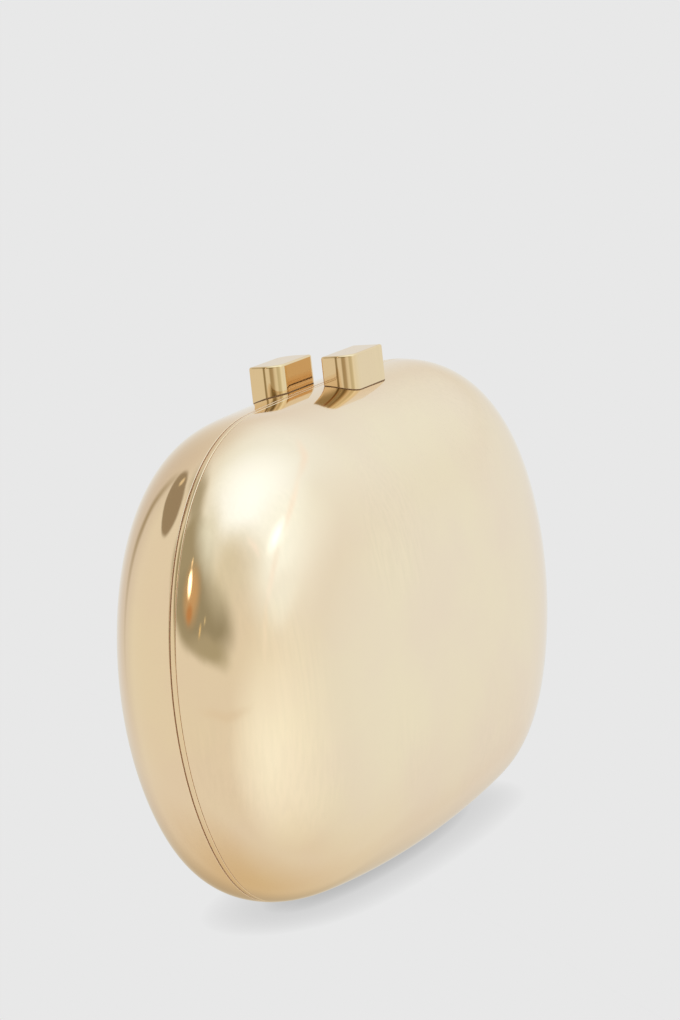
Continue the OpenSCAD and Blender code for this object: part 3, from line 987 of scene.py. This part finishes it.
def gap_shade_pad(name, turn, rounded, body, holes):
    """Fills the gap under a block, a little inside its outline, with dark fibre as painted shade."""
    across, along = 24, 40
    reach = block_l / 2 + pad_margin
    seat = seat_r + block_gap - pad_clear
    slices = []
    for i in range(along + 1):
        x = block_mid.x + reach * (2 * i / along - 1)
        under, over = [], []
        for j in range(across + 1):
            y = block_seam_gap - pad_margin + (block_w + 2 * pad_margin) * j / across
            drawn = (top_z(y) - mid_z) / (case_h / 2)
            under.append((turn * x, turn * y, top_z(y) - x * x / (2 * top_r * drawn) + pad_clear))
            over.append((turn * x, turn * y, seam_top_z - seat_r + math.sqrt(seat * seat - y * y)))
        slices.append(under + over[::-1])
    piece = loft(name, slices)
    piece.data.materials.append(dark_fibre)
    levels = [(pad_inset, top_z(block_far) - block_under), (pad_inset, block_top)]
    stamp = stacked(name + "_stamp", turn, rounded, levels)
    trimmed(piece, [stamp], "INTERSECT")
    trimmed(piece, holes)
    finished(piece)
    bpy.data.objects.remove(stamp)
    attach(piece, body)


clasp_block("back_block", 1, True, "back_half", "back_clasp_block", screw_cuts[:2])
clasp_block("front_block", -1, False, "front_half", "front_clasp_block", screw_cuts[2:])
gap_shade_pad("back_block_pad", 1, True, "back_half", screw_cuts[:2])
gap_shade_pad("front_block_pad", -1, False, "front_half", screw_cuts[2:])


# Linings. Champagne satin over thin padding and card, glued into each half: a puffed band along
# the rim, a wall and a panel over the bottom of the bowl, sewn together, with darts in the corners.
lining_off, lining_y = 0.0013, frame_y + 0.0003
seam_pad, start_pad, puff_most = 0.0007, 0.0016, 0.0015
lining_columns, lining_rows = 180, 40
sewn_rows = (0, 3, 21)
dart_columns = (18, 72, 108, 162)
row_power, grain_scale, grain_high = 1.15, 120, 0.0001
leaf_reach, leaf_deep, leaf_top, leaf_fade, leaf_pad = 0.0256, 0.0061, 0.0041, 0.004, 0.001
head_room, head_reach = 0.0028, 0.005


def smooth_step(low, high, value):
    share = min(max((value - low) / (high - low), 0), 1)
    return share * share * (3 - 2 * share)


def padded_skin():
    """The back lining's closed skin before it is puffed: its points, inwards from each, and the
    points that are sewn down."""
    first = math.asin((lining_y / half_depth) ** (wall_power / 2))
    rim = outline[:: columns // lining_columns]
    wall = []
    for r in range(lining_rows + 1):
        angle = first + (math.pi / 2 - first) * (r / lining_rows) ** row_power
        share = max(math.cos(angle), 0.0) ** (2 / plan_power)
        y = half_depth * math.sin(angle) ** (2 / wall_power)
        wall.append([Vector((p.x * share, y, mid_z + p.y * share)) for p in rim])
    middle = Vector((0, 0, mid_z))
    points, inwards, sewn = [], [], []
    for inner in (False, True):
        for r in range(lining_rows):
            for c in range(lining_columns):
                p = wall[r][c]
                around = wall[r][(c + 1) % lining_columns] - wall[r][c - 1]
                rise = wall[r + 1][c] - wall[max(r - 1, 0)][c]
                inward = around.cross(rise).normalized()
                if inward.dot(p - middle) > 0:
                    inward.negate()
                on_seam = r in sewn_rows or (c in dart_columns and r < sewn_rows[-1])
                # The padding gives way over the heads of the block's screws
                beside = min((p - foot).length for foot in screw_feet)
                press = 1 - smooth_step(head_reach, 2 * head_reach, beside)
                off = lining_off + press * (head_room - lining_off)
                if inner:
                    pad = seam_pad if on_seam else start_pad
                    pad += grain_high * noise.noise(p * grain_scale)
                    off = max(lining_off + pad, off + seam_pad)
                q = p + inward * off
                if r == 0:
                    q.y = lining_y
                # The lining runs up over the hinge's leaf
                lift = 1 - smooth_step(leaf_reach, leaf_reach + leaf_fade, abs(q.x))
                lift *= 1 - smooth_step(leaf_deep, leaf_deep + leaf_fade, q.y)
                least = leaf_top + (leaf_pad if inner else 0)
                q.z += lift * max(least - q.z, 0)
                points.append(q)
                inwards.append(inward)
                if on_seam or not inner:
                    sewn.append(len(points) - 1)
        points.append(Vector((0, half_depth - lining_off - (start_pad if inner else 0), mid_z)))
        inwards.append(Vector((0, -1, 0)))
        if not inner:
            sewn.append(len(points) - 1)
    return points, inwards, sewn


def skin_quads():
    """Faces over the skin's points: outside and inside, each up to its pole, and the rim between."""
    faces = []
    skin = lining_rows * lining_columns + 1
    for side in (0, skin):
        for r in range(lining_rows - 1):
            for c in range(lining_columns):
                d = (c + 1) % lining_columns
                low, high = side + r * lining_columns, side + (r + 1) * lining_columns
                faces.append((low + c, low + d, high + d, high + c))
        last = side + (lining_rows - 1) * lining_columns
        pole = side + skin - 1
        faces += [(last + c, last + (c + 1) % lining_columns, pole) for c in range(lining_columns)]
    for c in range(lining_columns):
        d = (c + 1) % lining_columns
        faces.append((c, d, skin + d, skin + c))
    return faces


def satin_cloth():
    """Champagne satin: a close weave with a soft sheen, and a tone that drifts a little."""
    cloth = Finish("champagne_satin")
    place = cloth.place()
    across, along = (
        cloth.add(
            "ShaderNodeTexWave",
            {"Vector": place, "Scale": scale, "Distortion": 1.5, "Detail": 2},
            wave_type="BANDS",
            bands_direction=direction,
        )["Fac"]
        for direction, scale in (("X", 900), ("Z", 450))
    )
    weave = cloth.bumped(cloth.maths("ADD", across, along), Strength=0.5, Distance=0.00003)
    crinkles = cloth.noise(place, scale=90, detail=2, distortion=1.2)
    drift = cloth.noise(place, scale=35, detail=3)
    return cloth.dress(
        {
            "Roughness": 0.36,
            "Specular IOR Level": 0.6,
            "Sheen Weight": 0.35,
            "Sheen Roughness": 0.35,
            "Sheen Tint": (1, 0.93, 0.8),
            "Base Color": cloth.mixed(drift, (0.7, 0.55, 0.4), (0.8, 0.65, 0.5)),
            "Normal": cloth.bumped(crinkles, Strength=0.5, Distance=0.001, Normal=weave),
        }
    )


satin = satin_cloth()
skin_points, skin_inwards, sewn_points = padded_skin()
skin_faces = skin_quads()
puff_frames = 20


def from_points(name, points):
    """The skin over those points, facing outwards."""
    shape = bmesh.new()
    corners = [shape.verts.new(p) for p in points]
    for face in skin_faces:
        shape.faces.new([corners[i] for i in face])
    shape.verts.index_update()
    return from_shape(name, shape)


def puffed():
    """The skin's points after the padding has swelled between the seams."""
    piece = from_points("skin", skin_points)
    piece.vertex_groups.new(name="sewn").add(sewn_points, 1.0, "REPLACE")
    puff = piece.modifiers.new("puff", "CLOTH")
    cloth = puff.settings
    cloth.quality = 6
    cloth.mass = 0.0004
    cloth.tension_stiffness = 6
    cloth.compression_stiffness = 6
    cloth.shear_stiffness = 3
    cloth.bending_stiffness = 0.0005
    cloth.use_pressure = True
    cloth.uniform_pressure_force = 0.4
    cloth.shrink_min = -0.008
    cloth.vertex_group_mass = "sewn"
    cloth.effector_weights.gravity = 0
    puff.collision_settings.use_collision = False
    puff.point_cache.frame_start = 1
    puff.point_cache.frame_end = puff_frames
    for frame_number in range(1, puff_frames + 1):
        scene.frame_set(frame_number)
    seen = piece.evaluated_get(bpy.context.evaluated_depsgraph_get())
    swelled = [Vector(v.co) for v in seen.data.vertices]
    scene.frame_set(1)
    bpy.data.objects.remove(piece)
    points = []
    for start, end, inward in zip(skin_points, swelled, skin_inwards):
        move = end - start
        if move.length > 0:
            move *= puff_most * (1 - math.exp(-move.length / puff_most)) / move.length
        points.append(start + move - min(move.dot(inward), 0.0) * inward)
    return points


lining_points = puffed()


def lining(name, turn, body, replaced):
    """The puffed skin, laid in the back half or, turned half a turn, in the front one."""
    piece = from_points(name, [(turn * p.x, turn * p.y, p.z) for p in lining_points])
    piece.data.materials.append(satin)
    finer = piece.modifiers.new("finer", "SUBSURF")
    finer.levels = finer.render_levels = 1
    finished(piece, sharp_deg=70, clean=False)
    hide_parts(replaced)
    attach(piece, body)


lining("back_padded_lining", 1, "back_half", "back_lining")
lining("front_padded_lining", -1, "front_half", "front_lining")


# Small pieces inside the case, which keep their CAD shapes. Screws on vulcanised fibre washers, the
# hinge's gold-plated leaves and steel pin, and the catch: brass barrel and plug, steel ball and spring.
def ground_steel(name, colour, roughness, stretch):
    """Turned or drawn steel: fine lines one way, and a little uneven in tone."""
    metal = Finish(name)
    strokes = metal.noise(metal.place(stretch), scale=1, detail=4)
    return metal.dress(
        {
            "Metallic": 1,
            "Base Color": metal.mixed(strokes, toned(colour, 0.86, 0.86, 0.86), colour),
            "Roughness": metal.ranged(strokes, 0, 1, roughness * 0.6, roughness * 1.5),
        }
    )


turned_steel = ground_steel("turned_steel", (0.62, 0.61, 0.59), 0.25, (900, 900, 5000))
drawn_steel = ground_steel("drawn_steel", (0.6, 0.59, 0.57), 0.22, (60, 6000, 6000))
polished_steel = ground_steel("polished_steel", (0.68, 0.67, 0.65), 0.1, (700, 700, 700))
fibre = fibre_sheet("red_brown_fibre", (0.2, 0.09, 0.05), (0.36, 0.19, 0.12))
hinge_gold = polished_gold("hinge_gold", (0.85, 0.63, 0.36), 0.16, Line_scale=1800.0, Line_share=1.0)
barrel_brass = brushed_brass("barrel_brass", (0.74, 0.54, 0.27), 0.3)
for material, dressed in (
    (turned_steel, ("back_block_screws", "front_block_screws")),
    (drawn_steel, ("hinge_pin", "catch_spring")),
    (polished_steel, ("catch_ball",)),
    (fibre, ("back_block_washers", "front_block_washers")),
    (hinge_gold, ("back_hinge_leaf", "front_hinge_leaf")),
    (barrel_brass, ("catch_barrel", "catch_plug")),
):
    for name in dressed:
        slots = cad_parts[name].data.materials
        slots.clear()
        slots.append(material)

hinge_cuts, catch_cuts = [channel_cut, relief_cut, frame_room, lip_room], [dimple_cut, seat_cut, sink_cut]
for cut in hinge_cuts + catch_cuts + [seat_cut_block] + screw_cuts:
    bpy.data.objects.remove(cut)
